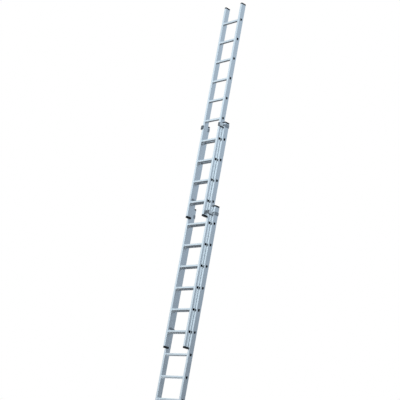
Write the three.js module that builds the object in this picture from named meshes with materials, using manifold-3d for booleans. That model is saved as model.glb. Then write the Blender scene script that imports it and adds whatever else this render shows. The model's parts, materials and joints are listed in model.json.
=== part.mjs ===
// Three-section push-up extension ladder in aluminium, shown extended.
// Millimetres, +Z up along the stiles, -Y is the climbing side, +Y faces the wall.
// The origin is the middle of the bounding box in X and Y, on the ground under the feet.
import * as THREE from 'three';
import { mergeVertices } from 'three/addons/utils/BufferGeometryUtils.js';
import Module from 'manifold-3d';

const wasm = await Module();
wasm.setup();

// ---------------------------------------------------------------- driving dimensions
const SECTION_NAMES = ['base', 'mid', 'top'];
const RUNGS_PER_SECTION = 10;
const RUNG_PITCH = 280;
const BOTTOM_END = 211; // lowest rung's centre to the end of the section
const TOP_END = 238; // highest rung's centre to the other end of the section
const TOP_SECTION_WIDTH = 337; // over the stiles of the narrowest section
const RAISED_RUNGS = [0, 4, 6]; // how many rungs each section is raised on the one behind it

const STILE_DEPTH = 74;
const STILE_THICKNESS = 30;
const STILE_WALL = 1.8;
const STILE_CORNER = 4;
const NEST_DEPTH = 16.6; // how far a section's stiles reach back between the next pair

const RUNG_DEPTH = 28;
const RUNG_HEIGHT = 34;
const RUNG_WALL = 1.6;
const RUNG_CORNER = 4;

const FIT_GAP = 0.3; // between fixed pieces
const RUN_GAP = 1.1; // between a strap and the stile that passes it
const GUIDE_GAP = 0.8; // between a guide liner and the stile that slides in it

const PLATE = 3; // guide bracket plate
const LINER = 13; // nylon guide liner beside the stile that slides in it
const LINER_FRONT = 9.3; // the liner's wall in front of that stile
const LINER_SHORT = 5; // that wall's end short of the stile's inner side
const BRACKET_HEIGHT = 43;
const LINER_ABOVE = 1; // liner standing out over its bracket
const LINER_BELOW = 8; // collar of the liner under its bracket
const BRACKET_DROPS = [105.5, 52]; // bracket centres below the tops of the base and middle sections

const CAP_HEIGHT = 20;
const CAP_BEVEL = 3;
const SHOE_HEIGHT = 24;
const FOOT_HEIGHT = 46;
const PLUG_LENGTH = 24;
const SOLE_GROOVES = 4;
const SOLE_GROOVE_DEPTH = 4;
const SOLE_GROOVE_WIDTH = 5;

const HOOK_PLATE = 6;
const HOOK_SIDE_GAP = 0.6; // hook plate to the stile beside it
const HOOK_SEAT_GAP = 0.5; // hook seat to the rung under it
const HOOK_HEAD_RADIUS = 12;
const HOOK_ARM = 22; // height of the arm over the seat
const HOOK_LIP = 7; // thickness of the lip behind the rung
const HOOK_LIP_DROP = 17;
const HOOK_CORNER = 9;
const PIVOT_RISE = 46; // hook pivot above the section's lowest rung
const PIVOT_RADIUS = 5;
const PIVOT_LENGTH = 8;
const BOSS_RADIUS = 9;
const BOSS_HEIGHT = 2.5;
const REST_DROP = 3; // a section's rungs sit this far below those of the section behind

const CORNER_STEPS = 3;
const ROUND_STEPS = 6;
const PIVOT_SIDES = 20;

// ---------------------------------------------------------------- sizes worked out
const SIDE_STEP = STILE_THICKNESS + FIT_GAP + PLATE + RUN_GAP;
const DEPTH_STEP = STILE_DEPTH - NEST_DEPTH;
const SECTION_LENGTH = BOTTOM_END + (RUNGS_PER_SECTION - 1) * RUNG_PITCH + TOP_END;
const GUIDE_THICKNESS = GUIDE_GAP + LINER_FRONT;
const BAND_THICKNESS = FIT_GAP + PLATE;
const TOTAL_DEPTH = STILE_DEPTH + 2 * DEPTH_STEP + GUIDE_THICKNESS + BAND_THICKNESS;

const sections = SECTION_NAMES.map((name, index) => {
  const halfWidth = TOP_SECTION_WIDTH / 2 + (SECTION_NAMES.length - 1 - index) * SIDE_STEP;
  const raised = RAISED_RUNGS.slice(0, index + 1).reduce((sum, rungs) => sum + rungs, 0);
  return {
    name,
    index,
    halfWidth,
    innerHalf: halfWidth - STILE_THICKNESS,
    y: TOTAL_DEPTH / 2 - BAND_THICKNESS - STILE_DEPTH / 2 - index * DEPTH_STEP,
    z: raised * RUNG_PITCH - index * REST_DROP,
  };
});

const SIDES = [
  { name: 'left', sign: -1 },
  { name: 'right', sign: 1 },
];

// ---------------------------------------------------------------- materials
const material = (color, roughness, metalness) =>
  new THREE.MeshStandardMaterial({ color, roughness, metalness });

const STILE_ALUMINIUM = material('#b9c0c6', 0.42, 0.9);
const RUNG_ALUMINIUM = material('#c3c9ce', 0.36, 0.9);
const BRACKET_ALUMINIUM = material('#a3a9ae', 0.5, 0.9);
const BLACK_PLASTIC = material('#15181b', 0.6, 0);
const GREY_NYLON = material('#4a4f54', 0.5, 0);
const BLACK_RUBBER = material('#121314', 0.85, 0);
const ZINC_STEEL = material('#9aa0a4', 0.4, 0.9);

// ---------------------------------------------------------------- outlines and solids
function arcPoints(centreX, centreY, radius, startDegrees, endDegrees, steps) {
  return Array.from({ length: steps + 1 }, (_, i) => {
    const angle = THREE.MathUtils.degToRad(startDegrees + ((endDegrees - startDegrees) * i) / steps);
    return new THREE.Vector2(centreX + radius * Math.cos(angle), centreY + radius * Math.sin(angle));
  });
}

function roundedRectangle(width, depth, radius) {
  const x = width / 2 - radius;
  const y = depth / 2 - radius;
  return [
    ...arcPoints(x, y, radius, 0, 90, CORNER_STEPS),
    ...arcPoints(-x, y, radius, 90, 180, CORNER_STEPS),
    ...arcPoints(-x, -y, radius, 180, 270, CORNER_STEPS),
    ...arcPoints(x, -y, radius, 270, 360, CORNER_STEPS),
  ];
}

// The rung's section: a flat tread over a round underside, grown or shrunk all round.
function rungOutline(growth) {
  const radius = RUNG_DEPTH / 2 + growth;
  const corner = RUNG_CORNER + growth;
  const top = RUNG_HEIGHT / 2 + growth;
  const roundCentre = RUNG_DEPTH / 2 - RUNG_HEIGHT / 2;
  return [
    ...arcPoints(radius - corner, top - corner, corner, 0, 90, 2),
    ...arcPoints(corner - radius, top - corner, corner, 90, 180, 2),
    ...arcPoints(0, roundCentre, radius, 180, 360, ROUND_STEPS),
  ];
}

// Outline of a strip of constant thickness whose middle line follows the given points.
function stripOutline(points, thickness) {
  const offset = (point, index, distance) => {
    const before = points[Math.max(index - 1, 0)];
    const after = points[Math.min(index + 1, points.length - 1)];
    const entering = index === 0 ? after.clone().sub(point) : point.clone().sub(before);
    const leaving = index === points.length - 1 ? entering.clone() : after.clone().sub(point);
    const normalIn = new THREE.Vector2(-entering.y, entering.x).normalize();
    const normalOut = new THREE.Vector2(-leaving.y, leaving.x).normalize();
    const mitre = normalIn.clone().add(normalOut);
    return point.clone().addScaledVector(mitre, distance / (1 + normalIn.dot(normalOut)));
  };
  const oneSide = points.map((point, index) => offset(point, index, thickness / 2));
  const otherSide = points.map((point, index) => offset(point, index, -thickness / 2));
  return [...oneSide, ...otherSide.reverse()];
}

function extrude(outline, depth, options = {}) {
  const shape = new THREE.Shape(outline);
  if (options.hole) shape.holes.push(new THREE.Path(options.hole));
  return new THREE.ExtrudeGeometry(shape, { depth, steps: 1, bevelEnabled: false, ...options.bevel });
}

// Turns a solid drawn in local X, Y and extruded along local Z so that it lies along X.
function layAlongX(geometry) {
  const turn = new THREE.Matrix4().makeBasis(
    new THREE.Vector3(0, 1, 0),
    new THREE.Vector3(0, 0, 1),
    new THREE.Vector3(1, 0, 0),
  );
  return geometry.applyMatrix4(turn);
}

function toSolid(geometry) {
  const bare = geometry.clone();
  bare.deleteAttribute('normal');
  bare.deleteAttribute('uv');
  const merged = mergeVertices(bare, 1e-4);
  const vertProperties = new Float32Array(merged.attributes.position.array);
  const triVerts = new Uint32Array(merged.index.array);
  return new wasm.Manifold(new wasm.Mesh({ numProp: 3, vertProperties, triVerts }));
}

function toGeometry(solid) {
  const mesh = solid.getMesh();
  const geometry = new THREE.BufferGeometry();
  geometry.setAttribute('position', new THREE.BufferAttribute(new Float32Array(mesh.vertProperties), 3));
  geometry.setIndex(new THREE.BufferAttribute(new Uint32Array(mesh.triVerts), 1));
  geometry.computeVertexNormals();
  return geometry;
}

const joined = (...geometries) =>
  toGeometry(geometries.map(toSolid).reduce((sum, solid) => sum.add(solid)));

const cut = (geometry, cutters) =>
  toGeometry(cutters.map(toSolid).reduce((rest, cutter) => rest.subtract(cutter), toSolid(geometry)));

function mesh(name, geometry, surface) {
  const object = new THREE.Mesh(geometry, surface);
  object.name = name;
  return object;
}

// ---------------------------------------------------------------- stiles
const rungHeight = (rung) => BOTTOM_END + rung * RUNG_PITCH;
const stileBottom = (section) => (section.index === 0 ? FOOT_HEIGHT : SHOE_HEIGHT) + FIT_GAP;
const stileTop = SECTION_LENGTH - CAP_HEIGHT - FIT_GAP;

function makeStile(section, side) {
  const bottom = stileBottom(section);
  const tube = extrude(roundedRectangle(STILE_THICKNESS, STILE_DEPTH, STILE_CORNER), stileTop - bottom, {
    hole: roundedRectangle(
      STILE_THICKNESS - 2 * STILE_WALL,
      STILE_DEPTH - 2 * STILE_WALL,
      STILE_CORNER - STILE_WALL,
    ),
  }).translate(0, 0, bottom);
  const cutters = Array.from({ length: RUNGS_PER_SECTION }, (_, rung) =>
    layAlongX(extrude(rungOutline(FIT_GAP), STILE_THICKNESS + 2)).translate(
      -STILE_THICKNESS / 2 - 1,
      0,
      rungHeight(rung),
    ),
  );
  if (section.index > 0) cutters.push(pivotHole(side));
  const stile = mesh(`${section.name}_stile_${side.name}`, cut(tube, cutters), STILE_ALUMINIUM);
  stile.position.x = side.sign * (section.halfWidth - STILE_THICKNESS / 2);
  return stile;
}

// Hole for a hook's pivot, through the stile's inner wall only.
function pivotHole(side) {
  const length = STILE_THICKNESS / 2;
  return layAlongX(extrude(arcPoints(0, 0, PIVOT_RADIUS + FIT_GAP, 0, 360, PIVOT_SIDES).slice(1), length))
    .translate(-length / 2, 0, 0)
    .translate((-side.sign * STILE_THICKNESS) / 2, 0, BOTTOM_END + PIVOT_RISE);
}

// ---------------------------------------------------------------- rungs
function makeRung(section, rung) {
  const length = 2 * section.halfWidth;
  const tube = layAlongX(extrude(rungOutline(0), length, { hole: rungOutline(-RUNG_WALL) }));
  const object = mesh(
    `${section.name}_rung_${String(rung + 1).padStart(2, '0')}`,
    tube.translate(-length / 2, 0, 0),
    RUNG_ALUMINIUM,
  );
  object.position.z = rungHeight(rung);
  return object;
}

// ---------------------------------------------------------------- end caps and feet
const plugOutline = () => {
  const wallAndGap = STILE_WALL + FIT_GAP;
  return roundedRectangle(
    STILE_THICKNESS - 2 * wallAndGap,
    STILE_DEPTH - 2 * wallAndGap,
    STILE_CORNER - wallAndGap,
  );
};

// A block with the stile's outline whose free end is rounded over; it points up from z = 0.
function roundedBlock(height) {
  const bevel = {
    bevelEnabled: true,
    bevelThickness: CAP_BEVEL,
    bevelSize: CAP_BEVEL,
    bevelOffset: -CAP_BEVEL,
    bevelSegments: 2,
  };
  const outline = roundedRectangle(STILE_THICKNESS, STILE_DEPTH, STILE_CORNER);
  const rounded = extrude(outline, height, { bevel }).translate(0, 0, -CAP_BEVEL);
  const keep = new THREE.BoxGeometry(2 * STILE_THICKNESS, 2 * STILE_DEPTH, height);
  keep.translate(0, 0, height / 2);
  return toGeometry(toSolid(rounded).intersect(toSolid(keep)));
}

function makeTopCap(section, side) {
  const head = roundedBlock(CAP_HEIGHT);
  const plug = extrude(plugOutline(), PLUG_LENGTH + 1).translate(0, 0, -PLUG_LENGTH);
  const cap = mesh(`${section.name}_top_cap_${side.name}`, joined(head, plug), BLACK_PLASTIC);
  cap.position.set(side.sign * (section.halfWidth - STILE_THICKNESS / 2), 0, SECTION_LENGTH - CAP_HEIGHT);
  return cap;
}

function makeShoe(section, side) {
  const head = roundedBlock(SHOE_HEIGHT).rotateX(Math.PI);
  const plug = extrude(plugOutline(), PLUG_LENGTH + 1).translate(0, 0, -1);
  const shoe = mesh(`${section.name}_end_shoe_${side.name}`, joined(head, plug), BLACK_PLASTIC);
  shoe.position.set(side.sign * (section.halfWidth - STILE_THICKNESS / 2), 0, SHOE_HEIGHT);
  return shoe;
}

// Side view of a foot: a block with rounded upper corners and grooves across its sole.
function footOutline() {
  const half = STILE_DEPTH / 2;
  const ribPitch = STILE_DEPTH / (SOLE_GROOVES + 1);
  const sole = Array.from({ length: SOLE_GROOVES }, (_, i) => {
    const centre = -half + (i + 1) * ribPitch;
    return [
      new THREE.Vector2(centre - SOLE_GROOVE_WIDTH / 2, 0),
      new THREE.Vector2(centre - SOLE_GROOVE_WIDTH / 2, SOLE_GROOVE_DEPTH),
      new THREE.Vector2(centre + SOLE_GROOVE_WIDTH / 2, SOLE_GROOVE_DEPTH),
      new THREE.Vector2(centre + SOLE_GROOVE_WIDTH / 2, 0),
    ];
  }).flat();
  return [
    new THREE.Vector2(-half, 0),
    ...sole,
    new THREE.Vector2(half, 0),
    new THREE.Vector2(half, FOOT_HEIGHT),
    new THREE.Vector2(-half, FOOT_HEIGHT),
  ];
}

function makeFoot(section, side) {
  const block = layAlongX(extrude(footOutline(), STILE_THICKNESS)).translate(-STILE_THICKNESS / 2, 0, 0);
  const plug = extrude(plugOutline(), PLUG_LENGTH + 1).translate(0, 0, FOOT_HEIGHT - 1);
  const foot = mesh(`${section.name}_rubber_foot_${side.name}`, joined(block, plug), BLACK_RUBBER);
  foot.position.x = side.sign * (section.halfWidth - STILE_THICKNESS / 2);
  return foot;
}

// ---------------------------------------------------------------- guide brackets
// The bracket is bent round the inner, rear and outer faces of its own stile, crosses in front of
// it and goes forward beside the stile that slides; its inner end is the stop behind that stile.
function bracketPath(section, upper) {
  const plateMiddle = FIT_GAP + PLATE / 2;
  const bandX = section.innerHalf - plateMiddle;
  const bandY = STILE_DEPTH / 2 + plateMiddle;
  const strapX = section.halfWidth + plateMiddle;
  const crossY = -STILE_DEPTH / 2 - plateMiddle;
  const sideX = upper.halfWidth + GUIDE_GAP + LINER + plateMiddle;
  const upperY = upper.y - section.y;
  const stopY = upperY + STILE_DEPTH / 2 + GUIDE_GAP;
  const frontY = upperY - STILE_DEPTH / 2 - GUIDE_THICKNESS;
  return [
    [bandX, stopY],
    [bandX, bandY],
    [strapX, bandY],
    [strapX, crossY],
    [sideX, crossY],
    [sideX, frontY],
  ];
}

// Plans of the liner: its walls beside and in front of the sliding stile, and the collar under
// the bracket, which comes out as far as the bracket's plate.
function linerOutlines(section, upper) {
  const faceX = upper.halfWidth + GUIDE_GAP;
  const backX = faceX + LINER;
  const collarX = backX + FIT_GAP + PLATE;
  const endX = upper.innerHalf + LINER_SHORT;
  const faceY = upper.y - section.y - STILE_DEPTH / 2 - GUIDE_GAP;
  const frontY = faceY - LINER_FRONT;
  const rearY = -STILE_DEPTH / 2 - 2 * FIT_GAP;
  return {
    walls: [[backX, rearY], [backX, frontY], [endX, frontY], [endX, faceY], [faceX, faceY], [faceX, rearY]],
    stem: [[backX, rearY], [backX, frontY], [faceX, frontY], [faceX, rearY]],
    collar: [[collarX, rearY], [collarX, frontY], [faceX, frontY], [faceX, rearY]],
  };
}

const sidePoints = (side, points) => points.map(([x, y]) => new THREE.Vector2(side.sign * x, y));
const bracketBottom = (section) => SECTION_LENGTH - BRACKET_DROPS[section.index] - BRACKET_HEIGHT / 2;

function makeBracket(section, side) {
  const path = sidePoints(side, bracketPath(section, sections[section.index + 1]));
  const bracket = mesh(
    `${section.name}_guide_bracket_${side.name}`,
    extrude(stripOutline(path, PLATE), BRACKET_HEIGHT),
    BRACKET_ALUMINIUM,
  );
  bracket.position.z = bracketBottom(section);
  return bracket;
}

function makeLiner(section, side) {
  const outlines = linerOutlines(section, sections[section.index + 1]);
  const block = (outline, low, high) =>
    extrude(sidePoints(side, outline), high - low).translate(0, 0, low);
  const liner = mesh(
    `${section.name}_guide_liner_${side.name}`,
    joined(
      block(outlines.walls, 0, BRACKET_HEIGHT + LINER_ABOVE),
      block(outlines.stem, -LINER_BELOW, LINER_ABOVE),
      block(outlines.collar, -LINER_BELOW, -FIT_GAP),
    ),
    GREY_NYLON,
  );
  liner.position.z = bracketBottom(section);
  return liner;
}

// ---------------------------------------------------------------- rung hooks
// Side view of a hook about its pivot: a round head, an arm over the rung of the section
// behind and a lip down behind that rung.
function hookOutline() {
  const seat = RUNG_HEIGHT / 2 + REST_DROP + HOOK_SEAT_GAP - PIVOT_RISE;
  const rungFront = DEPTH_STEP - RUNG_DEPTH / 2;
  const lipInner = DEPTH_STEP + RUNG_DEPTH / 2 + 2 * HOOK_SEAT_GAP;
  const lipOuter = lipInner + HOOK_LIP;
  const armTop = seat + HOOK_ARM;
  return [
    ...arcPoints(0, 0, HOOK_HEAD_RADIUS, 80, 250, 8),
    new THREE.Vector2(rungFront - HOOK_SEAT_GAP, seat),
    new THREE.Vector2(lipInner, seat),
    new THREE.Vector2(lipInner, seat - HOOK_LIP_DROP),
    new THREE.Vector2(lipOuter, seat - HOOK_LIP_DROP),
    ...arcPoints(lipOuter - HOOK_CORNER, armTop - HOOK_CORNER, HOOK_CORNER, 0, 70, CORNER_STEPS),
  ];
}

function makeHook(section, side) {
  const circle = (radius) => arcPoints(0, 0, radius, 0, 360, PIVOT_SIDES).slice(1);
  const plate = layAlongX(extrude(hookOutline(), HOOK_PLATE)).translate(-HOOK_PLATE / 2, 0, 0);
  const bossFrom = HOOK_PLATE / 2 - 1;
  const boss = layAlongX(extrude(circle(BOSS_RADIUS), BOSS_HEIGHT + 1)).translate(bossFrom, 0, 0);
  const pivot = layAlongX(extrude(circle(PIVOT_RADIUS), PIVOT_LENGTH + 1)).translate(bossFrom, 0, 0);
  // The boss faces the middle of the ladder and the pivot the stile beside it.
  const towardsStile = side.sign > 0 ? pivot : pivot.rotateZ(Math.PI);
  const towardsMiddle = side.sign > 0 ? boss.rotateZ(Math.PI) : boss;
  const hook = mesh(
    `${section.name}_rung_hook_${side.name}`,
    joined(plate, towardsStile, towardsMiddle),
    ZINC_STEEL,
  );
  hook.position.x = side.sign * (section.innerHalf - HOOK_SIDE_GAP - HOOK_PLATE / 2);
  hook.position.z = BOTTOM_END + PIVOT_RISE;
  return hook;
}

// ---------------------------------------------------------------- assembly
function makeSection(section) {
  const group = new THREE.Group();
  group.position.set(0, section.y, section.z);
  const isBase = section.index === 0;
  const isTop = section.index === sections.length - 1;
  for (const side of SIDES) {
    group.add(makeStile(section, side));
    group.add(makeTopCap(section, side));
    group.add(isBase ? makeFoot(section, side) : makeShoe(section, side));
    if (!isTop) {
      group.add(makeBracket(section, side));
      group.add(makeLiner(section, side));
    }
    if (!isBase) group.add(makeHook(section, side));
  }
  for (let rung = 0; rung < RUNGS_PER_SECTION; rung += 1) group.add(makeRung(section, rung));
  return group;
}

const ladder = new THREE.Group();
for (const section of sections) ladder.add(makeSection(section));

export default ladder;
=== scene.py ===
import json
import math

import bmesh
import bpy
from mathutils import Matrix, Vector


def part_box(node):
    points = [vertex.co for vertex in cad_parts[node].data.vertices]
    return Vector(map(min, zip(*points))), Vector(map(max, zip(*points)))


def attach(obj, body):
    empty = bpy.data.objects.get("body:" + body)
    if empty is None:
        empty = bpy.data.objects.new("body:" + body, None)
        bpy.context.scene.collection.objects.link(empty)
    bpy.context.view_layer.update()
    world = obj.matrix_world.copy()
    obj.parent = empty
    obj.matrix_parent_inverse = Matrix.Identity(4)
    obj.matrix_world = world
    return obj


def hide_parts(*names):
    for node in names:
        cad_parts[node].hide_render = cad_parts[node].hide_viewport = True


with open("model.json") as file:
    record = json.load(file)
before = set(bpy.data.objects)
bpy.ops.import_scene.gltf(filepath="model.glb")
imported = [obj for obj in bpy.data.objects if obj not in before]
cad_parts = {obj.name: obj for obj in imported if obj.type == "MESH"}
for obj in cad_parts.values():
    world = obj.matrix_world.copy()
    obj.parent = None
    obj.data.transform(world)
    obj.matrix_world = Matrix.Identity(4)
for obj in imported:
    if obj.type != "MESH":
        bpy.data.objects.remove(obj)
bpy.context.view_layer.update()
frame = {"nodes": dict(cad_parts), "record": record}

# Lengths are in metres unless a name ends in _MM.
MM = 0.001

# ---------------------------------------------------------------- sizes shared with the frame
SECTIONS = ("base", "mid", "top")
SIDES = (("left", -1), ("right", 1))
RUNG_COUNT = 10
RUNG_WALL = 1.6 * MM
RUNG_CORNER = 4 * MM
FIT_GAP = 0.3 * MM
GUIDE_GAP = 0.8 * MM
PLATE = 3 * MM
LINER = 13 * MM
LINER_FRONT = 9.3 * MM
LINER_SHORT = 5 * MM
PLUG_LENGTH = 24 * MM

# ---------------------------------------------------------------- sizes of the visible detail
TREAD_GROOVES = 5
GROOVE_PITCH = 3.8 * MM
GROOVE_WIDTH = 1.7 * MM
GROOVE_DEPTH = 0.8 * MM
GROOVE_SLOPE = 0.3 * MM
GROOVES_STOP = 9 * MM  # short of the stile
GROOVES_RUNOUT = 2 * MM
RUNG_CORNER_LEAST = 0.5 * MM
# The rung's ends, as (place outwards, growth of the outline). The bead's places are from the
# stile's inner face, and the flare's and the mouth's are from its outer face.
BEAD_MM = ((-5.4, 0.0), (-4.4, 0.8), (-3.0, 1.5), (-1.5, 1.4), (-0.4, 0.6), (-0.2, 0.0))
FLARE_MM = ((-0.2, 0.0), (0.1, 0.5), (0.35, 0.8), (0.5, 0.4))
MOUTH_MM = ((0.4, -0.2), (0.1, -0.7), (-2.5, -1.4))
MOUTH_DEPTH = 6 * MM
CORNER_STEPS = 6
ROUND_STEPS = 26
BEND_RADIUS = 2.6 * MM
BEND_STEPS = 5
PLATE_CORNER = 5 * MM
BAND_STOP = 4 * MM  # the clamp band's end, behind the front of its stile
BRACKET_SEAM = 1 * MM  # open gap between the clamp band and the guide plate
LINER_ROUND = 2.5 * MM
LINER_EDGE = 1 * MM
BOLT_ACROSS = 16 * MM
BOLT_HEAD = 6 * MM
BOLT_CROWN_MM = ((0.0, 1.0), (0.9, 0.2), (2.2, 0.0), (3.4, 0.35))  # inwards, down from the top
BOLT_SIDES = 6
WASHER_RADIUS = 9.8 * MM
WASHER_THICKNESS = 1.6 * MM
WASHER_LOWER_EDGE = 0.3 * MM
WASHER_UPPER_EDGE = 0.4 * MM
WASHER_SIDES = 40
SUNK = 0.2 * MM  # how deep rivets and ribs stand in the face under them
RIVET_RADIUS = 4.5 * MM
RIVET_HEIGHT = 0.55 * MM
RIVET_RIM = 0.15 * MM
RIVET_CROWN = ((0.9, 0.7), (0.62, 1.0), (0.35, 1.0), (0.28, 0.4))  # shares of radius and height
RIVET_SIDES = 28
BAND_RIVETS = (-11 * MM, 11 * MM, 26.4 * MM)  # behind the middle of the band's stile
GUIDE_RIVETS = (14 * MM, 46 * MM)  # behind the sliding stile's front
TOP_RIVET_DROP = PLUG_LENGTH + 4 * MM
PIVOT_RISE = 46 * MM
HOOK_BOSS = 2.5 * MM
HOOK_LIP = 7 * MM
RIB_START = 16 * MM  # behind the pivot
RIB_DROP = 13 * MM  # below the pivot
RIB_END = 4.5 * MM  # above the lip's tip
RIB_WIDTH = 4 * MM
RIB_HEIGHT = 1 * MM
RIB_ROUND = 0.9 * MM
# Smooth shading, fine rounds along sharp edges and the welding of CAD corners.
SMOOTH_ANGLE = math.radians(35)
EDGE_ANGLE = math.radians(50)
EDGE_STEPS = 2
CAD_EDGE = 0.4 * MM
PLATE_EDGE = 0.4 * MM
NYLON_EDGE = 0.5 * MM
BOLT_EDGE = 0.2 * MM
RIB_EDGE = 0.3 * MM
WELD_GAP = 0.01 * MM


def arc(centre, radius, start, end, steps):
    """Points on an arc in the plane, angles in degrees."""
    points = []
    for i in range(steps + 1):
        angle = math.radians(start + (end - start) * i / steps)
        points.append((centre[0] + radius * math.cos(angle), centre[1] + radius * math.sin(angle)))
    return points


def box_centre(node):
    low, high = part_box(node)
    return (low + high) / 2


def link(name, mesh):
    obj = bpy.data.objects.new(name, mesh)
    bpy.context.scene.collection.objects.link(obj)
    return obj


def mesh_from(name, verts, faces):
    mesh = bpy.data.meshes.new(name)
    mesh.from_pydata(verts, [], faces)
    mesh.validate()
    mesh.update()
    return mesh


def shade_by_angle(mesh):
    for polygon in mesh.polygons:
        polygon.use_smooth = True
    mesh.set_sharp_from_angle(angle=SMOOTH_ANGLE)


def soften(piece, width):
    """A fine rounded edge, as a bevel modifier."""
    edge = piece.modifiers.new("edge", "BEVEL")
    edge.width = width
    edge.segments = EDGE_STEPS
    edge.limit_method = "ANGLE"
    edge.angle_limit = EDGE_ANGLE
    edge.harden_normals = True


def loft(name, loops, closed_ring=False):
    """A closed surface through equal loops; the first and last loop join or are capped."""
    count = len(loops[0])
    verts = [point for loop in loops for point in loop]
    faces = []
    spans = len(loops) if closed_ring else len(loops) - 1
    for i in range(spans):
        a, b = i * count, ((i + 1) % len(loops)) * count
        for j in range(count):
            k = (j + 1) % count
            faces.append((a + j, a + k, b + k, b + j))
    if not closed_ring:
        faces.append(tuple(range(count))[::-1])
        faces.append(tuple((len(loops) - 1) * count + j for j in range(count)))
    mesh = mesh_from(name, verts, faces)
    fix_normals(mesh)
    return mesh


def fix_normals(mesh):
    shape = bmesh.new()
    shape.from_mesh(mesh)
    bmesh.ops.recalc_face_normals(shape, faces=shape.faces)
    shape.to_mesh(mesh)
    shape.free()


# ---------------------------------------------------------------- materials
EVEN = (1.0, 1.0, 1.0)
LINES_ACROSS = 260.0
LINES_ALONG = 3.0
CLOUD_SCALE = 14.0
SMUDGE_SCALE = 55.0
DUST_SCALE = 40.0


class Nodes:
    """Small helper around one node tree."""

    def __init__(self, tree):
        self.tree = tree

    def add(self, kind, **settings):
        node = self.tree.nodes.new(kind)
        for key, value in settings.items():
            setattr(node, key, value)
        return node

    def join(self, output, socket):
        self.tree.links.new(output, socket)

    def place(self, stretch):
        """Object coordinates stretched along each axis."""
        coordinates = self.add("ShaderNodeTexCoord")
        mapping = self.add("ShaderNodeMapping")
        mapping.inputs["Scale"].default_value = stretch
        self.join(coordinates.outputs["Object"], mapping.inputs["Vector"])
        return mapping.outputs["Vector"]

    def noise(self, scale, stretch=EVEN, detail=4.0, roughness=0.6):
        node = self.add("ShaderNodeTexNoise")
        node.inputs["Scale"].default_value = scale
        node.inputs["Detail"].default_value = detail
        node.inputs["Roughness"].default_value = roughness
        self.join(self.place(stretch), node.inputs["Vector"])
        return node.outputs["Fac"]

    def spread(self, value, low, high, to_low, to_high, interpolation="LINEAR"):
        """The value's range from low to high, moved to another range."""
        node = self.add("ShaderNodeMapRange", interpolation_type=interpolation)
        limits = {"From Min": low, "From Max": high, "To Min": to_low, "To Max": to_high}
        for key, number in limits.items():
            node.inputs[key].default_value = number
        self.join(value, node.inputs["Value"])
        return node.outputs["Result"]

    def ramp(self, level, stops):
        """The colour at a level from 0 to 1, from (level, colour) stops."""
        node = self.add("ShaderNodeValToRGB")
        elements = node.color_ramp.elements
        elements[0].position, elements[1].position = stops[0][0], stops[-1][0]
        elements[0].color, elements[1].color = (*stops[0][1], 1.0), (*stops[-1][1], 1.0)
        for position, color in stops[1:-1]:
            elements.new(position).color = (*color, 1.0)
        self.join(level, node.inputs["Fac"])
        return node.outputs["Color"]

    def blend_colors(self, factor, first, second):
        node = self.add("ShaderNodeMix", data_type="RGBA")
        self.join(factor, node.inputs[0])
        for socket, color in ((node.inputs[6], first), (node.inputs[7], second)):
            if isinstance(color, tuple):
                socket.default_value = (*color, 1.0)
            else:
                self.join(color, socket)
        return node.outputs[2]

    def math(self, operation, first, second):
        node = self.add("ShaderNodeMath", operation=operation)
        for socket, value in ((node.inputs[0], first), (node.inputs[1], second)):
            if isinstance(value, (int, float)):
                socket.default_value = value
            else:
                self.join(value, socket)
        return node.outputs[0]

    def bump(self, height, strength, distance, normal=None):
        node = self.add("ShaderNodeBump")
        node.inputs["Strength"].default_value = strength
        node.inputs["Distance"].default_value = distance
        self.join(height, node.inputs["Height"])
        if normal is not None:
            self.join(normal, node.inputs["Normal"])
        return node.outputs["Normal"]


class Surface(Nodes):
    """A new material with its own node tree."""

    def __init__(self, name, metallic, roughness):
        self.material = bpy.data.materials.new(name)
        self.material.use_nodes = True
        super().__init__(self.material.node_tree)
        self.shader = self.tree.nodes["Principled BSDF"]
        self.shader.inputs["Metallic"].default_value = metallic
        self.shader.inputs["Roughness"].default_value = roughness

    def feed(self, name, output):
        """Drives one input of the shader."""
        self.join(output, self.shader.inputs[name])


def aluminium(name, light, dark, along, roughness):
    """Extruded or rolled aluminium: fine lines along one axis, dull clouds and smudges."""
    nodes = Surface(name, 1.0, roughness)
    stretch = [LINES_ALONG if axis == along else LINES_ACROSS for axis in "XYZ"]
    lines = nodes.noise(1.0, stretch, detail=6.0, roughness=0.7)
    clouds = nodes.noise(CLOUD_SCALE, detail=5.0, roughness=0.65)
    smudges = nodes.noise(SMUDGE_SCALE, detail=3.0)
    line_tone = nodes.spread(lines, 0.3, 0.7, 0.0, 0.55)
    cloud_tone = nodes.spread(clouds, 0.35, 0.7, 0.0, 0.45)
    tone = nodes.math("ADD", line_tone, cloud_tone)
    nodes.feed("Base Color", nodes.blend_colors(tone, dark, light))
    rough_clouds = nodes.spread(clouds, 0.3, 0.7, roughness - 0.06, roughness + 0.06)
    rough_smudges = nodes.spread(smudges, 0.55, 0.75, 0.0, 0.08)
    nodes.feed("Roughness", nodes.math("ADD", rough_clouds, rough_smudges))
    normal = nodes.bump(lines, 0.25, 0.2 * MM)
    nodes.feed("Normal", nodes.bump(smudges, 0.08, 0.4 * MM, normal))
    return nodes.material


def plastic(name, color, worn, roughness, grain, grain_depth):
    """Moulded plastic, rubber, dark steel and the painted shade inside the rungs: fine grain, dusty
    patches where it is handled.
    """
    nodes = Surface(name, 0.0, roughness)
    fine = nodes.noise(grain, detail=2.0)
    dust = nodes.noise(DUST_SCALE, detail=5.0, roughness=0.7)
    worn_share = nodes.spread(dust, 0.45, 0.75, 0.0, 1.0)
    nodes.feed("Base Color", nodes.blend_colors(worn_share, color, worn))
    nodes.feed("Roughness", nodes.spread(dust, 0.3, 0.7, roughness - 0.08, roughness + 0.12))
    nodes.feed("Normal", nodes.bump(fine, 0.35, grain_depth))
    return nodes.material


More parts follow.
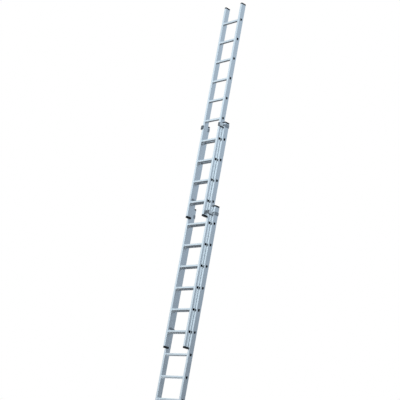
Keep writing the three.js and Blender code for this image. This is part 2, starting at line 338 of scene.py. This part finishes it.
# name: light colour, dark colour, axis of the lines, roughness
ALUMINIUM = {
    "stile_aluminium": ((0.90, 0.91, 0.92), (0.80, 0.82, 0.84), "Z", 0.30),
    "rung_aluminium": ((0.90, 0.91, 0.92), (0.79, 0.81, 0.83), "X", 0.30),
    "bracket_aluminium": ((0.95, 0.96, 0.97), (0.87, 0.89, 0.91), "X", 0.60),
    "hook_steel": ((0.50, 0.51, 0.52), (0.36, 0.37, 0.39), "Y", 0.36),
}
# name: colour, worn colour, roughness, density of the grain, depth of the grain
PLASTIC = {
    "cap_plastic": ((0.006, 0.0065, 0.0075), (0.018, 0.019, 0.020), 0.5, 2600.0, 0.2 * MM),
    "guide_nylon": ((0.19, 0.20, 0.215), (0.26, 0.27, 0.285), 0.42, 1800.0, 0.15 * MM),
    "foot_rubber": ((0.012, 0.012, 0.012), (0.055, 0.052, 0.048), 0.78, 1500.0, 0.3 * MM),
    # The rungs' inside: painted shade, a near-black for the shade deep in the hollow tube, darker
    # than its dull oxidised wall.
    "rung_inside": ((0.006, 0.0065, 0.007), (0.016, 0.017, 0.018), 0.7, 900.0, 0.1 * MM),
    "bolt_steel": ((0.012, 0.013, 0.014), (0.035, 0.037, 0.04), 0.45, 3000.0, 0.05 * MM),
}
MATERIALS = {name: aluminium(name, *look) for name, look in ALUMINIUM.items()}
MATERIALS |= {name: plastic(name, *look) for name, look in PLASTIC.items()}

SLOT_OF_NODE = {row["node"]: row["material_slot"] for row in frame["record"]["subparts"]}


def dress_cad_nodes():
    """The CAD solids whose shape stays get their material, welded corners and a fine edge round."""
    for name, obj in frame["nodes"].items():
        obj.data.materials.clear()
        obj.data.materials.append(MATERIALS[SLOT_OF_NODE[name]])
        if obj.hide_render:
            continue
        weld = obj.modifiers.new("weld", "WELD")
        weld.merge_threshold = WELD_GAP
        soften(obj, CAD_EDGE)


# ---------------------------------------------------------------- where the sections are
class Section:
    """The driving positions of one ladder section, read from its CAD nodes."""

    def __init__(self, name):
        self.name = name
        low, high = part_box(f"{name}_stile_right")
        self.half, self.inner = high.x, low.x
        self.front, self.rear = low.y, high.y
        self.y = (low.y + high.y) / 2
        self.rungs = [box_centre(f"{name}_rung_{rung + 1:02d}").z for rung in range(RUNG_COUNT)]
        self.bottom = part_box(f"{name}_{self.lower_end()}_right")[0].z
        self.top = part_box(f"{name}_top_cap_right")[1].z

    def lower_end(self):
        return "rubber_foot" if self.name == "base" else "end_shoe"


LADDER = [Section(name) for name in SECTIONS]


def add_piece(name, mesh, material, body, replaced=()):
    """Links a finished mesh, gives it its material and slot and lets it ride on its body."""
    shade_by_angle(mesh)
    piece = link(name, mesh)
    if not mesh.materials:
        mesh.materials.append(MATERIALS[material])
    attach(piece, body)
    if replaced:
        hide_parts(*replaced)
    return piece


# ---------------------------------------------------------------- rungs
RUNG_LOW, RUNG_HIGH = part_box("base_rung_01")
RUNG_DEPTH = RUNG_HIGH.y - RUNG_LOW.y
RUNG_HEIGHT = RUNG_HIGH.z - RUNG_LOW.z


def rung_outline(growth, groove):
    """The rung's D section, with grooves of the given depth in its tread."""
    radius = RUNG_DEPTH / 2 + growth
    corner = max(RUNG_CORNER + growth, RUNG_CORNER_LEAST)
    top = RUNG_HEIGHT / 2 + growth
    round_centre = RUNG_DEPTH / 2 - RUNG_HEIGHT / 2
    points = arc((radius - corner, top - corner), corner, 0, 90, CORNER_STEPS)
    for index in range(TREAD_GROOVES):
        centre = ((TREAD_GROOVES - 1) / 2 - index) * GROOVE_PITCH
        half = GROOVE_WIDTH / 2
        points += [
            (centre + half, top),
            (centre + half - GROOVE_SLOPE, top - groove),
            (centre - half + GROOVE_SLOPE, top - groove),
            (centre - half, top),
        ]
    points += arc((corner - radius, top - corner), corner, 90, 180, CORNER_STEPS)
    points += arc((0, round_centre), radius, 180, 360, ROUND_STEPS)
    return points


def rung_mesh(section):
    """A ribbed hollow rung, swaged to a bead inside each stile and flared over its outer face."""
    inner, outer = section.inner, section.half
    right_outside = [
        (0.0, 0.0, GROOVE_DEPTH),
        (inner - GROOVES_STOP, 0.0, GROOVE_DEPTH),
        (inner - GROOVES_STOP + GROOVES_RUNOUT, 0.0, 0.0),
    ]
    for face, profile in ((inner, BEAD_MM), (outer, FLARE_MM)):
        right_outside += [(face + x * MM, growth * MM, 0.0) for x, growth in profile]
    right_inside = [(outer + x * MM, growth * MM, 0.0) for x, growth in MOUTH_MM]
    right_inside.append((outer - MOUTH_DEPTH, -RUNG_WALL, 0.0))
    outside = [(-x, g, d) for x, g, d in reversed(right_outside[1:])] + right_outside
    inside = right_inside + [(-x, g, d) for x, g, d in reversed(right_inside)]
    loops = [[(x, y, z) for y, z in rung_outline(g, d)] for x, g, d in outside + inside]
    mesh = loft(f"{section.name}_rung", loops, closed_ring=True)
    mesh.materials.append(MATERIALS["rung_aluminium"])
    mesh.materials.append(MATERIALS["rung_inside"])
    # The faces inside the tube take the near-black second material, painted shade deep in the
    # hollow rung.
    first, last = len(outside) * len(loops[0]), (len(loops) - 1) * len(loops[0])
    for polygon in mesh.polygons[first:last]:
        polygon.material_index = 1
    return mesh


def make_rungs():
    for section in LADDER:
        shape = rung_mesh(section)
        for rung, height in enumerate(section.rungs):
            mesh = shape.copy()
            mesh.transform(Matrix.Translation((0.0, section.y, height)))
            node = f"{section.name}_rung_{rung + 1:02d}"
            add_piece(f"{node}_ribbed", mesh, "rung_aluminium", section.name, [node])


# ---------------------------------------------------------------- bent plates
def fillet(points, radius):
    """The points of a line of straight runs, with each bend rounded."""
    rounded = [points[0]]
    for before, corner, after in zip(points, points[1:], points[2:]):
        back = (Vector(before) - Vector(corner)).normalized()
        ahead = (Vector(after) - Vector(corner)).normalized()
        centre = Vector(corner) + (back + ahead) * radius
        start = Vector(corner) + back * radius - centre
        end = Vector(corner) + ahead * radius - centre
        for step in range(BEND_STEPS + 1):
            turn = step / BEND_STEPS * math.pi / 2
            point = centre + start * math.cos(turn) + end * math.sin(turn)
            rounded.append((point.x, point.y))
    rounded.append(points[-1])
    return rounded


def rounded_outline(points, radii):
    """A closed outline of square corners, each rounded by its own radius."""
    rounded = []
    for index, (corner, radius) in enumerate(zip(points, radii)):
        before, after = points[index - 1], points[(index + 1) % len(points)]
        back = (Vector(before) - Vector(corner)).normalized()
        ahead = (Vector(after) - Vector(corner)).normalized()
        centre = Vector(corner) + (back + ahead) * radius
        for step in range(BEND_STEPS + 1):
            turn = step / BEND_STEPS * math.pi / 2
            point = centre - ahead * radius * math.cos(turn) - back * radius * math.sin(turn)
            rounded.append((point.x, point.y))
    return rounded


def strip_mesh(name, points, thickness, low, high, corner):
    """A plate of constant thickness bent along the points, from low to high, with rounded ends."""
    line = [Vector(point) for point in fillet(points, BEND_RADIUS)]
    sides = []
    for index, point in enumerate(line):
        before = line[max(index - 1, 0)]
        after = line[min(index + 1, len(line) - 1)]
        along = (after - before).normalized()
        across = Vector((-along.y, along.x)) * thickness / 2
        sides.append((point + across, point - across))
    shape = bmesh.new()
    rows = []
    for first, second in sides:
        rows.append(
            [
                shape.verts.new((first.x, first.y, low)),
                shape.verts.new((second.x, second.y, low)),
                shape.verts.new((second.x, second.y, high)),
                shape.verts.new((first.x, first.y, high)),
            ]
        )
    for row, following in zip(rows, rows[1:]):
        for i in range(4):
            j = (i + 1) % 4
            shape.faces.new((row[i], row[j], following[j], following[i]))
    shape.faces.new(rows[0][::-1])
    shape.faces.new(rows[-1])
    ends = [shape.edges.get((row[i], row[i + 1])) for row in (rows[0], rows[-1]) for i in (0, 2)]
    bmesh.ops.bevel(
        shape, geom=ends, offset=corner, segments=CORNER_STEPS, affect="EDGES", profile=0.5
    )
    bmesh.ops.recalc_face_normals(shape, faces=shape.faces)
    mesh = bpy.data.meshes.new(name)
    shape.to_mesh(mesh)
    shape.free()
    return mesh


def mirrored(points, sign):
    return [(sign * x, y) for x, y in points]


def make_bracket(lower, upper, side, sign):
    """The clamp band round a stile, the guide plate beside the next one and its nylon block."""
    node = f"{lower.name}_guide_bracket_{side}"
    low, high = (corner.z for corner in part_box(node))
    middle = FIT_GAP + PLATE / 2
    strap_x = lower.half + middle
    band_x = lower.inner - middle
    band_y = lower.rear + middle
    cross_y = lower.front - middle
    stop_y = upper.rear + GUIDE_GAP
    side_x = upper.half + GUIDE_GAP + LINER + middle
    front_y = upper.front - GUIDE_GAP - LINER_FRONT
    band_end_y = lower.front + BAND_STOP
    guide_start_y = band_end_y - BRACKET_SEAM
    band = [(band_x, stop_y), (band_x, band_y), (strap_x, band_y), (strap_x, band_end_y)]
    guide = [(strap_x, guide_start_y), (strap_x, cross_y), (side_x, cross_y), (side_x, front_y)]
    parts = (("band", band, "hook_steel"), ("guide", guide, "bracket_aluminium"))
    for part, path, material in parts:
        name = f"{lower.name}_bracket_{part}_{side}"
        mesh = strip_mesh(name, mirrored(path, sign), PLATE, low, high, PLATE_CORNER)
        soften(add_piece(name, mesh, material, lower.name, [node]), PLATE_EDGE)
    make_liner(lower, upper, side, sign, low)


def make_liner(lower, upper, side, sign, plate_low):
    """The nylon block's walls round the sliding stile, and its collar under the plate."""
    node = f"{lower.name}_guide_liner_{side}"
    low, high = (corner.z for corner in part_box(node))
    face_x, face_y = upper.half + GUIDE_GAP, upper.front - GUIDE_GAP
    back_x, front_y = face_x + LINER, face_y - LINER_FRONT
    collar_x, end_x = back_x + FIT_GAP + PLATE, upper.inner + LINER_SHORT
    rear_y = lower.front - 2 * FIT_GAP
    edge = LINER_EDGE
    walls = rounded_outline(
        [
            (back_x, rear_y),
            (back_x, front_y),
            (end_x, front_y),
            (end_x, face_y),
            (face_x, face_y),
            (face_x, rear_y),
        ],
        [edge, LINER_ROUND, LINER_ROUND, edge, edge, edge],
    )
    collar = rounded_outline(
        [(collar_x, rear_y), (collar_x, front_y), (face_x, front_y), (face_x, rear_y)],
        [edge, LINER_ROUND, edge, edge],
    )
    split = plate_low - FIT_GAP
    blocks = [
        [[(sign * x, y, z) for x, y in outline] for z in levels]
        for outline, levels in ((walls, (split, high)), (collar, (low, split)))
    ]
    piece = add_piece(f"{node}_moulded", merged(node, blocks), "guide_nylon", lower.name, [node])
    soften(piece, NYLON_EDGE)


def make_brackets():
    for lower, upper in zip(LADDER, LADDER[1:]):
        for side, sign in SIDES:
            make_bracket(lower, upper, side, sign)


# ---------------------------------------------------------------- fasteners
def circle(radius, height, sides):
    return [
        (radius * math.cos(math.tau * i / sides), radius * math.sin(math.tau * i / sides), height)
        for i in range(sides)
    ]


def turned(profile, sides, place):
    """Loops of a turned or many-sided piece, from (radius, height) pairs."""
    return [[tuple(place @ Vector(point)) for point in circle(r, h, sides)] for r, h in profile]


def merged(name, lofts):
    """One mesh from several closed lofts."""
    shape = bmesh.new()
    for loops in lofts:
        part = loft(name, loops)
        shape.from_mesh(part)
        bpy.data.meshes.remove(part)
    mesh = bpy.data.meshes.new(name)
    shape.to_mesh(mesh)
    shape.free()
    return mesh


def facing(place, direction):
    """A matrix that turns local +Z to the direction and moves the origin to the place."""
    turn = Vector(direction).to_track_quat("Z", "Y").to_matrix().to_4x4()
    return Matrix.Translation(place) @ turn


def bolt(place):
    across = BOLT_ACROSS / math.sqrt(3)
    top = WASHER_THICKNESS + BOLT_HEAD
    washer = [
        (WASHER_RADIUS - WASHER_LOWER_EDGE, 0.0),
        (WASHER_RADIUS, WASHER_LOWER_EDGE),
        (WASHER_RADIUS, WASHER_THICKNESS - WASHER_UPPER_EDGE),
        (WASHER_RADIUS - WASHER_UPPER_EDGE, WASHER_THICKNESS),
    ]
    head = [(across, WASHER_THICKNESS)]
    head += [(across - inwards * MM, top - down * MM) for inwards, down in BOLT_CROWN_MM]
    return [turned(washer, WASHER_SIDES, place), turned(head, BOLT_SIDES, place)]


def rivet(place):
    dome = [(RIVET_RADIUS, -SUNK), (RIVET_RADIUS, RIVET_RIM)]
    dome += [(RIVET_RADIUS * across, RIVET_HEIGHT * up) for across, up in RIVET_CROWN]
    return [turned(dome, RIVET_SIDES, place)]


def add_rivets(name, spots, material, body):
    """One piece of all the rivets at the (place, direction) spots."""
    heads = [head for place, direction in spots for head in rivet(facing(place, direction))]
    add_piece(name, merged("rivets", heads), material, body)


def plug_rivet_rise(section):
    """Height over the section's lower end of the rivet through the end piece's plug."""
    low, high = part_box(f"{section.name}_{section.lower_end()}_right")
    return high.z - low.z - PLUG_LENGTH / 2


def make_bracket_fasteners(lower, upper, side, sign):
    low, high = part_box(f"{lower.name}_guide_bracket_{side}")
    height = (low.z + high.z) / 2
    front = lower.front - FIT_GAP - PLATE
    plate_x = upper.half + GUIDE_GAP + LINER + FIT_GAP + PLATE
    strap_x = lower.half + FIT_GAP + PLATE
    place = (sign * (plate_x + strap_x) / 2, front, height)
    mesh = merged("bolt", bolt(facing(place, (0, -1, 0))))
    mesh.materials.append(MATERIALS["bolt_steel"])
    piece = add_piece(f"{lower.name}_bracket_bolt_{side}", mesh, "hook_steel", lower.name)
    soften(piece, BOLT_EDGE)
    outwards = (sign, 0, 0)
    spots = [((sign * strap_x, lower.y + back, height), outwards) for back in BAND_RIVETS]
    add_rivets(f"{lower.name}_band_rivets_{side}", spots, "hook_steel", lower.name)
    spots = [((sign * plate_x, upper.front + back, height), outwards) for back in GUIDE_RIVETS]
    add_rivets(f"{lower.name}_guide_rivets_{side}", spots, "bracket_aluminium", lower.name)


def make_fasteners():
    for lower, upper in zip(LADDER, LADDER[1:]):
        for side, sign in SIDES:
            make_bracket_fasteners(lower, upper, side, sign)
    for section in LADDER:
        heights = (section.top - TOP_RIVET_DROP, section.bottom + plug_rivet_rise(section))
        spots = [
            ((sign * face, section.y, height), (sign * direction, 0, 0))
            for _, sign in SIDES
            for height in heights
            for face, direction in ((section.half, 1), (section.inner, -1))
        ]
        add_rivets(f"{section.name}_plug_rivets", spots, "hook_steel", section.name)


def make_hook_details():
    """The riveted head of each hook's pivot and the pressed rib along its arm."""
    for section in LADDER[1:]:
        for side, sign in SIDES:
            hook = f"{section.name}_hook_{side}"
            low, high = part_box(f"{section.name}_rung_hook_{side}")
            boss_x = low.x if sign > 0 else high.x
            pivot = Vector((boss_x, section.y, section.rungs[0] + PIVOT_RISE))
            head = merged("pivot", rivet(facing(pivot, (-sign, 0, 0))))
            add_piece(f"{hook}_pivot_head", head, "hook_steel", hook)
            lip_y = high.y - HOOK_LIP / 2 - pivot.y
            tip_z = low.z + RIB_END - pivot.z
            path = [(RIB_START, -RIB_DROP), (lip_y, -RIB_DROP), (lip_y, tip_z)]
            name = f"{hook}_rib"
            rib = strip_mesh(name, path, RIB_WIDTH, -SUNK, RIB_HEIGHT, RIB_ROUND)
            # Local X, Y and Z of the strip become backwards, up and away from the stile.
            columns = Matrix(((0.0, 0.0, -sign), (1.0, 0.0, 0.0), (0.0, 1.0, 0.0))).to_4x4()
            place = (boss_x + sign * HOOK_BOSS, pivot.y, pivot.z)
            rib.transform(Matrix.Translation(place) @ columns)
            fix_normals(rib)
            soften(add_piece(name, rib, "hook_steel", hook), RIB_EDGE)


# ---------------------------------------------------------------- camera and light
# The stiles stand upright here, so the camera takes up the ladder's lean.
LEAN = math.radians(13.56)
CAMERA_PLACE = Vector((11.0855, -9.2070, -0.9257))
CAMERA_LOOK = Vector((-0.74318, 0.6142, 0.26541))
LENS_MM = 105.34
SENSOR_MM = 36.0
VIEW_DISTANCE = 200.0

# Colour of what the metal mirrors, from straight down (0) to straight up (1), horizon at 0.5.
SKY_BEHIND = (
    (0.00, (0.10, 0.105, 0.11)),
    (0.48, (0.14, 0.16, 0.18)),
    (0.55, (0.18, 0.22, 0.26)),
    (0.58, (0.33, 0.40, 0.47)),
    (0.63, (0.40, 0.49, 0.59)),
    (0.71, (0.47, 0.58, 0.68)),
    (1.00, (0.53, 0.63, 0.73)),
)
SKY_IN_FRONT = (
    (0.00, (0.10, 0.105, 0.11)),
    (0.43, (0.13, 0.145, 0.16)),
    (0.54, (0.48, 0.57, 0.64)),
    (0.58, (0.69, 0.82, 0.91)),
    (1.00, (0.69, 0.82, 0.91)),
)
FRONT_TO_BACK = (-0.25, 0.35)  # Y of the directions between which one sky becomes the other
CAMERA_SIDE_GAIN = 1.5  # how much brighter the sky in front is on the right
LEFT_TO_RIGHT = (-0.3, 0.6)  # X of the directions between which it brightens

KEY_PLACE = Vector((-7.0, -11.0, 5.5))
KEY_AIM = Vector((0.0, 0.0, 3.0))
KEY_SIZE = 9.0
KEY_POWER = 60.0
KEY_COLOR = (0.97, 0.99, 1.0)

FLOOR_RADIUS = 1.6
FLOOR_SIDES = 96
FLOOR_SINK = 0.5 * MM
FLOOR_FADE = (0.55, 0.98)  # shares of the radius
FLOOR_ROUGHNESS = 0.6
FLOOR_COLORS = ((0.90, 0.88, 0.86), (0.94, 0.92, 0.90))
FLOOR_MOTTLE = 6.0
FLOOR_GLOW = (1.0, 0.98, 0.96, 1.0)
FLOOR_GLOW_STRENGTH = 0.22


def make_camera():
    data = bpy.data.cameras.new("camera")
    data.lens = LENS_MM
    data.sensor_width = SENSOR_MM
    data.clip_end = VIEW_DISTANCE
    camera = link("camera", data)
    forward = CAMERA_LOOK.normalized()
    true_up = Vector((0.0, -math.sin(LEAN), math.cos(LEAN)))
    right = forward.cross(true_up).normalized()
    up = right.cross(forward)
    turn = Matrix((right, up, -forward)).transposed().to_4x4()
    camera.matrix_world = Matrix.Translation(CAMERA_PLACE) @ turn
    bpy.context.scene.camera = camera


def make_world():
    """White to the camera, with a bright sky in front and a duller one behind to mirror."""
    world = bpy.data.worlds.new("studio")
    world.use_nodes = True
    bpy.context.scene.world = world
    nodes = Nodes(world.node_tree)
    nodes.tree.nodes.clear()
    coordinates = nodes.add("ShaderNodeTexCoord")
    split = nodes.add("ShaderNodeSeparateXYZ")
    nodes.join(coordinates.outputs["Generated"], split.inputs["Vector"])
    level = nodes.spread(split.outputs["Z"], -1.0, 1.0, 0.0, 1.0)
    gain = nodes.spread(split.outputs["X"], *LEFT_TO_RIGHT, 1.0, CAMERA_SIDE_GAIN, "SMOOTHSTEP")
    in_front = nodes.add("ShaderNodeVectorMath", operation="SCALE")
    nodes.join(nodes.ramp(level, SKY_IN_FRONT), in_front.inputs[0])
    nodes.join(gain, in_front.inputs["Scale"])
    share = nodes.spread(split.outputs["Y"], *FRONT_TO_BACK, 1.0, 0.0, "SMOOTHSTEP")
    behind = nodes.ramp(level, SKY_BEHIND)
    sky = nodes.add("ShaderNodeBackground")
    sky_color = nodes.blend_colors(share, behind, in_front.outputs["Vector"])
    nodes.join(sky_color, sky.inputs["Color"])
    white = nodes.add("ShaderNodeBackground")
    white.inputs["Color"].default_value = (1.0, 1.0, 1.0, 1.0)
    path = nodes.add("ShaderNodeLightPath")
    mix = nodes.add("ShaderNodeMixShader")
    nodes.join(path.outputs["Is Camera Ray"], mix.inputs["Fac"])
    nodes.join(sky.outputs["Background"], mix.inputs[1])
    nodes.join(white.outputs["Background"], mix.inputs[2])
    output = nodes.add("ShaderNodeOutputWorld")
    nodes.join(mix.outputs["Shader"], output.inputs["Surface"])


def make_key_light():
    data = bpy.data.lights.new("key", "AREA")
    data.shape = "RECTANGLE"
    data.size = data.size_y = KEY_SIZE
    data.energy = KEY_POWER
    data.color = KEY_COLOR
    light = link("key", data)
    light.location = KEY_PLACE
    light.rotation_mode = "QUATERNION"
    light.rotation_quaternion = (KEY_AIM - KEY_PLACE).to_track_quat("-Z", "Y")


def make_floor():
    """A pale round floor that fades out before it would reach the camera's view."""
    verts = circle(FLOOR_RADIUS, 0.0, FLOOR_SIDES)
    floor = link("floor", mesh_from("floor", verts, [tuple(range(FLOOR_SIDES))]))
    floor.location.z = -FLOOR_SINK
    nodes = Surface("floor", 0.0, FLOOR_ROUGHNESS)
    nodes.shader.inputs["Emission Color"].default_value = FLOOR_GLOW
    nodes.shader.inputs["Emission Strength"].default_value = FLOOR_GLOW_STRENGTH
    nodes.feed("Base Color", nodes.blend_colors(nodes.noise(FLOOR_MOTTLE), *FLOOR_COLORS))
    distance = nodes.add("ShaderNodeVectorMath", operation="LENGTH")
    nodes.join(nodes.place(EVEN), distance.inputs[0])
    start, end = (share * FLOOR_RADIUS for share in FLOOR_FADE)
    fade = nodes.spread(distance.outputs["Value"], start, end, 0.0, 1.0)
    mix = nodes.add("ShaderNodeMixShader")
    clear = nodes.add("ShaderNodeBsdfTransparent")
    output = nodes.tree.nodes["Material Output"]
    nodes.join(fade, mix.inputs["Fac"])
    nodes.join(nodes.shader.outputs["BSDF"], mix.inputs[1])
    nodes.join(clear.outputs["BSDF"], mix.inputs[2])
    nodes.join(mix.outputs["Shader"], output.inputs["Surface"])
    floor.data.materials.append(nodes.material)


bpy.context.scene.view_settings.view_transform = "Standard"
make_camera()
make_world()
make_key_light()
make_floor()
make_rungs()
make_brackets()
make_fasteners()
make_hook_details()
dress_cad_nodes()

bpy.context.view_layer.update()
